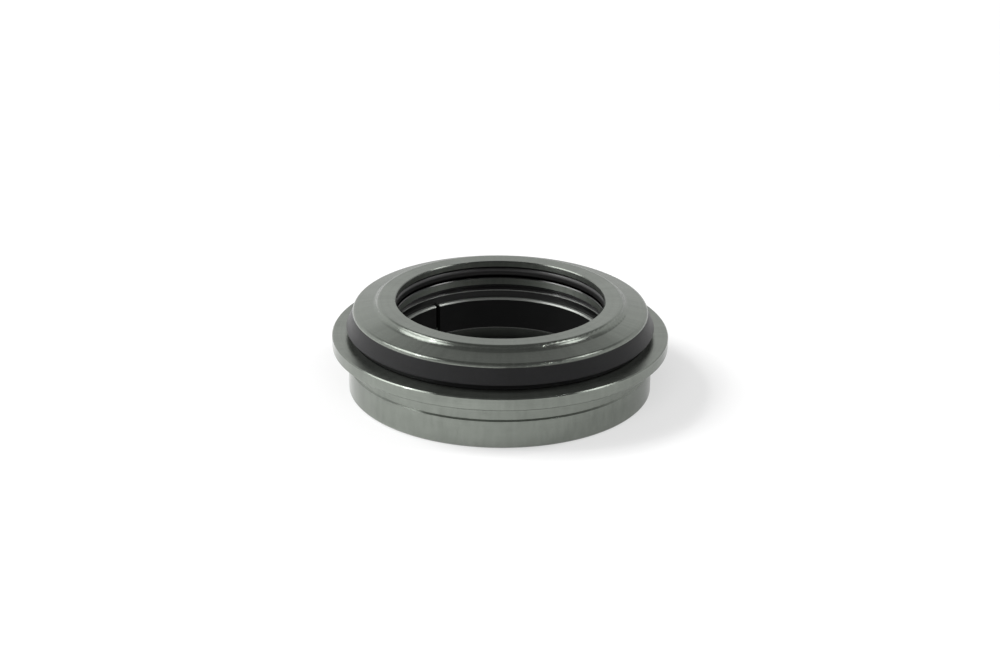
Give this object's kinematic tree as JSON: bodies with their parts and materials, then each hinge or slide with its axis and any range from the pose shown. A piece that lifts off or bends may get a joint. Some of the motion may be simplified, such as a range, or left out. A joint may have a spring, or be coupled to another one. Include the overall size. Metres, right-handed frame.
{
  "type": "bicycle headset upper assembly",
  "caption": "Zero-stack bicycle headset upper: flanged press-in cup, angular-contact cartridge bearing, split compression ring and sealed top cover for a steerer.",
  "frame": {"origin": "middle of the cup's lower rim, on the steering axis", "axes": "+Z along the steering axis, up the steerer; the ring's slit lies at 128.5 degrees from +X towards +Y"},
  "size_m": [0.062, 0.062, 0.0172],
  "materials": {
    "anodised_gunmetal": "fine-turned, gunmetal anodised, satin",
    "anodised_black": "fine-turned, black anodised",
    "bearing_steel": "ground",
    "ball_steel": "polished",
    "cage_nylon": "moulded",
    "bearing_seal_rubber": "moulded, matt",
    "o_ring_rubber": "moulded, semi-matt",
    "seal_rubber": "moulded, satin"
  },
  "bodies": {
    "head_tube_side": {"cup": "anodised_gunmetal", "bearing_outer_race": "bearing_steel", "bearing_seal_upper": "bearing_seal_rubber", "bearing_seal_lower": "bearing_seal_rubber"},
    "steerer_side": {"compression_ring": "anodised_black", "bearing_inner_race": "bearing_steel", "top_cover": "anodised_gunmetal", "steerer_o_ring": "o_ring_rubber", "skirt_seal": "seal_rubber"},
    "cage": {"bearing_cage": "cage_nylon"},
    "ball_01": {"ball_01": "ball_steel"},
    "ball_02": {"ball_02": "ball_steel"},
    "ball_03": {"ball_03": "ball_steel"},
    "ball_04": {"ball_04": "ball_steel"},
    "ball_05": {"ball_05": "ball_steel"},
    "ball_06": {"ball_06": "ball_steel"},
    "ball_07": {"ball_07": "ball_steel"},
    "ball_08": {"ball_08": "ball_steel"},
    "ball_09": {"ball_09": "ball_steel"},
    "ball_10": {"ball_10": "ball_steel"},
    "ball_11": {"ball_11": "ball_steel"},
    "ball_12": {"ball_12": "ball_steel"},
    "ball_13": {"ball_13": "ball_steel"},
    "ball_14": {"ball_14": "ball_steel"},
    "ball_15": {"ball_15": "ball_steel"},
    "ball_16": {"ball_16": "ball_steel"},
    "ball_17": {"ball_17": "ball_steel"},
    "ball_18": {"ball_18": "ball_steel"},
    "ball_19": {"ball_19": "ball_steel"},
    "ball_20": {"ball_20": "ball_steel"},
    "ball_21": {"ball_21": "ball_steel"},
    "ball_22": {"ball_22": "ball_steel"},
    "ball_23": {"ball_23": "ball_steel"},
    "ball_24": {"ball_24": "ball_steel"},
    "ball_25": {"ball_25": "ball_steel"},
    "ball_26": {"ball_26": "ball_steel"},
    "ball_27": {"ball_27": "ball_steel"},
    "ball_28": {"ball_28": "ball_steel"},
    "ball_29": {"ball_29": "ball_steel"},
    "ball_30": {"ball_30": "ball_steel"},
    "ball_31": {"ball_31": "ball_steel"},
    "ball_32": {"ball_32": "ball_steel"}
  },
  "joints": [
    {"name": "steering_spin", "type": "hinge", "parent": "head_tube_side", "child": "steerer_side", "pos_m": [0, 0, 0.0079], "axis": [0, 0, 1], "continuous": true},
    {"name": "cage_spin", "type": "hinge", "parent": "head_tube_side", "child": "cage", "pos_m": [0, 0, 0.0079], "axis": [0, 0, 1], "continuous": true},
    {"name": "ball_01_roll", "type": "hinge", "parent": "cage", "child": "ball_01", "pos_m": [0.023, 0, 0.0079], "axis": [0.7071, 0, 0.7071], "continuous": true},
    {"name": "ball_02_roll", "type": "hinge", "parent": "cage", "child": "ball_02", "pos_m": [0.02256, 0.00449, 0.0079], "axis": [0.6935, 0.1379, 0.7071], "continuous": true},
    {"name": "ball_03_roll", "type": "hinge", "parent": "cage", "child": "ball_03", "pos_m": [0.02125, 0.0088, 0.0079], "axis": [0.6533, 0.2706, 0.7071], "continuous": true},
    {"name": "ball_04_roll", "type": "hinge", "parent": "cage", "child": "ball_04", "pos_m": [0.01912, 0.01278, 0.0079], "axis": [0.5879, 0.3928, 0.7071], "continuous": true},
    {"name": "ball_05_roll", "type": "hinge", "parent": "cage", "child": "ball_05", "pos_m": [0.01626, 0.01626, 0.0079], "axis": [0.5, 0.5, 0.7071], "continuous": true},
    {"name": "ball_06_roll", "type": "hinge", "parent": "cage", "child": "ball_06", "pos_m": [0.01278, 0.01912, 0.0079], "axis": [0.3928, 0.5879, 0.7071], "continuous": true},
    {"name": "ball_07_roll", "type": "hinge", "parent": "cage", "child": "ball_07", "pos_m": [0.0088, 0.02125, 0.0079], "axis": [0.2706, 0.6533, 0.7071], "continuous": true},
    {"name": "ball_08_roll", "type": "hinge", "parent": "cage", "child": "ball_08", "pos_m": [0.00449, 0.02256, 0.0079], "axis": [0.1379, 0.6935, 0.7071], "continuous": true},
    {"name": "ball_09_roll", "type": "hinge", "parent": "cage", "child": "ball_09", "pos_m": [0, 0.023, 0.0079], "axis": [0, 0.7071, 0.7071], "continuous": true},
    {"name": "ball_10_roll", "type": "hinge", "parent": "cage", "child": "ball_10", "pos_m": [-0.00449, 0.02256, 0.0079], "axis": [-0.1379, 0.6935, 0.7071], "continuous": true},
    {"name": "ball_11_roll", "type": "hinge", "parent": "cage", "child": "ball_11", "pos_m": [-0.0088, 0.02125, 0.0079], "axis": [-0.2706, 0.6533, 0.7071], "continuous": true},
    {"name": "ball_12_roll", "type": "hinge", "parent": "cage", "child": "ball_12", "pos_m": [-0.01278, 0.01912, 0.0079], "axis": [-0.3928, 0.5879, 0.7071], "continuous": true},
    {"name": "ball_13_roll", "type": "hinge", "parent": "cage", "child": "ball_13", "pos_m": [-0.01626, 0.01626, 0.0079], "axis": [-0.5, 0.5, 0.7071], "continuous": true},
    {"name": "ball_14_roll", "type": "hinge", "parent": "cage", "child": "ball_14", "pos_m": [-0.01912, 0.01278, 0.0079], "axis": [-0.5879, 0.3928, 0.7071], "continuous": true},
    {"name": "ball_15_roll", "type": "hinge", "parent": "cage", "child": "ball_15", "pos_m": [-0.02125, 0.0088, 0.0079], "axis": [-0.6533, 0.2706, 0.7071], "continuous": true},
    {"name": "ball_16_roll", "type": "hinge", "parent": "cage", "child": "ball_16", "pos_m": [-0.02256, 0.00449, 0.0079], "axis": [-0.6935, 0.1379, 0.7071], "continuous": true},
    {"name": "ball_17_roll", "type": "hinge", "parent": "cage", "child": "ball_17", "pos_m": [-0.023, 0, 0.0079], "axis": [-0.7071, 0, 0.7071], "continuous": true},
    {"name": "ball_18_roll", "type": "hinge", "parent": "cage", "child": "ball_18", "pos_m": [-0.02256, -0.00449, 0.0079], "axis": [-0.6935, -0.1379, 0.7071], "continuous": true},
    {"name": "ball_19_roll", "type": "hinge", "parent": "cage", "child": "ball_19", "pos_m": [-0.02125, -0.0088, 0.0079], "axis": [-0.6533, -0.2706, 0.7071], "continuous": true},
    {"name": "ball_20_roll", "type": "hinge", "parent": "cage", "child": "ball_20", "pos_m": [-0.01912, -0.01278, 0.0079], "axis": [-0.5879, -0.3928, 0.7071], "continuous": true},
    {"name": "ball_21_roll", "type": "hinge", "parent": "cage", "child": "ball_21", "pos_m": [-0.01626, -0.01626, 0.0079], "axis": [-0.5, -0.5, 0.7071], "continuous": true},
    {"name": "ball_22_roll", "type": "hinge", "parent": "cage", "child": "ball_22", "pos_m": [-0.01278, -0.01912, 0.0079], "axis": [-0.3928, -0.5879, 0.7071], "continuous": true},
    {"name": "ball_23_roll", "type": "hinge", "parent": "cage", "child": "ball_23", "pos_m": [-0.0088, -0.02125, 0.0079], "axis": [-0.2706, -0.6533, 0.7071], "continuous": true},
    {"name": "ball_24_roll", "type": "hinge", "parent": "cage", "child": "ball_24", "pos_m": [-0.00449, -0.02256, 0.0079], "axis": [-0.1379, -0.6935, 0.7071], "continuous": true},
    {"name": "ball_25_roll", "type": "hinge", "parent": "cage", "child": "ball_25", "pos_m": [0, -0.023, 0.0079], "axis": [0, -0.7071, 0.7071], "continuous": true},
    {"name": "ball_26_roll", "type": "hinge", "parent": "cage", "child": "ball_26", "pos_m": [0.00449, -0.02256, 0.0079], "axis": [0.1379, -0.6935, 0.7071], "continuous": true},
    {"name": "ball_27_roll", "type": "hinge", "parent": "cage", "child": "ball_27", "pos_m": [0.0088, -0.02125, 0.0079], "axis": [0.2706, -0.6533, 0.7071], "continuous": true},
    {"name": "ball_28_roll", "type": "hinge", "parent": "cage", "child": "ball_28", "pos_m": [0.01278, -0.01912, 0.0079], "axis": [0.3928, -0.5879, 0.7071], "continuous": true},
    {"name": "ball_29_roll", "type": "hinge", "parent": "cage", "child": "ball_29", "pos_m": [0.01626, -0.01626, 0.0079], "axis": [0.5, -0.5, 0.7071], "continuous": true},
    {"name": "ball_30_roll", "type": "hinge", "parent": "cage", "child": "ball_30", "pos_m": [0.01912, -0.01278, 0.0079], "axis": [0.5879, -0.3928, 0.7071], "continuous": true},
    {"name": "ball_31_roll", "type": "hinge", "parent": "cage", "child": "ball_31", "pos_m": [0.02125, -0.0088, 0.0079], "axis": [0.6533, -0.2706, 0.7071], "continuous": true},
    {"name": "ball_32_roll", "type": "hinge", "parent": "cage", "child": "ball_32", "pos_m": [0.02256, -0.00449, 0.0079], "axis": [0.6935, -0.1379, 0.7071], "continuous": true}
  ],
  "couplings": [
    {"joint": "cage_spin", "follows": "steering_spin", "ratio": 0.4756},
    {"joint": "ball_01_roll", "follows": "steering_spin", "ratio": -7.2268},
    {"joint": "ball_02_roll", "follows": "steering_spin", "ratio": -7.2268},
    {"joint": "ball_03_roll", "follows": "steering_spin", "ratio": -7.2268},
    {"joint": "ball_04_roll", "follows": "steering_spin", "ratio": -7.2268},
    {"joint": "ball_05_roll", "follows": "steering_spin", "ratio": -7.2268},
    {"joint": "ball_06_roll", "follows": "steering_spin", "ratio": -7.2268},
    {"joint": "ball_07_roll", "follows": "steering_spin", "ratio": -7.2268},
    {"joint": "ball_08_roll", "follows": "steering_spin", "ratio": -7.2268},
    {"joint": "ball_09_roll", "follows": "steering_spin", "ratio": -7.2268},
    {"joint": "ball_10_roll", "follows": "steering_spin", "ratio": -7.2268},
    {"joint": "ball_11_roll", "follows": "steering_spin", "ratio": -7.2268},
    {"joint": "ball_12_roll", "follows": "steering_spin", "ratio": -7.2268},
    {"joint": "ball_13_roll", "follows": "steering_spin", "ratio": -7.2268},
    {"joint": "ball_14_roll", "follows": "steering_spin", "ratio": -7.2268},
    {"joint": "ball_15_roll", "follows": "steering_spin", "ratio": -7.2268},
    {"joint": "ball_16_roll", "follows": "steering_spin", "ratio": -7.2268},
    {"joint": "ball_17_roll", "follows": "steering_spin", "ratio": -7.2268},
    {"joint": "ball_18_roll", "follows": "steering_spin", "ratio": -7.2268},
    {"joint": "ball_19_roll", "follows": "steering_spin", "ratio": -7.2268},
    {"joint": "ball_20_roll", "follows": "steering_spin", "ratio": -7.2268},
    {"joint": "ball_21_roll", "follows": "steering_spin", "ratio": -7.2268},
    {"joint": "ball_22_roll", "follows": "steering_spin", "ratio": -7.2268},
    {"joint": "ball_23_roll", "follows": "steering_spin", "ratio": -7.2268},
    {"joint": "ball_24_roll", "follows": "steering_spin", "ratio": -7.2268},
    {"joint": "ball_25_roll", "follows": "steering_spin", "ratio": -7.2268},
    {"joint": "ball_26_roll", "follows": "steering_spin", "ratio": -7.2268},
    {"joint": "ball_27_roll", "follows": "steering_spin", "ratio": -7.2268},
    {"joint": "ball_28_roll", "follows": "steering_spin", "ratio": -7.2268},
    {"joint": "ball_29_roll", "follows": "steering_spin", "ratio": -7.2268},
    {"joint": "ball_30_roll", "follows": "steering_spin", "ratio": -7.2268},
    {"joint": "ball_31_roll", "follows": "steering_spin", "ratio": -7.2268},
    {"joint": "ball_32_roll", "follows": "steering_spin", "ratio": -7.2268}
  ]
}
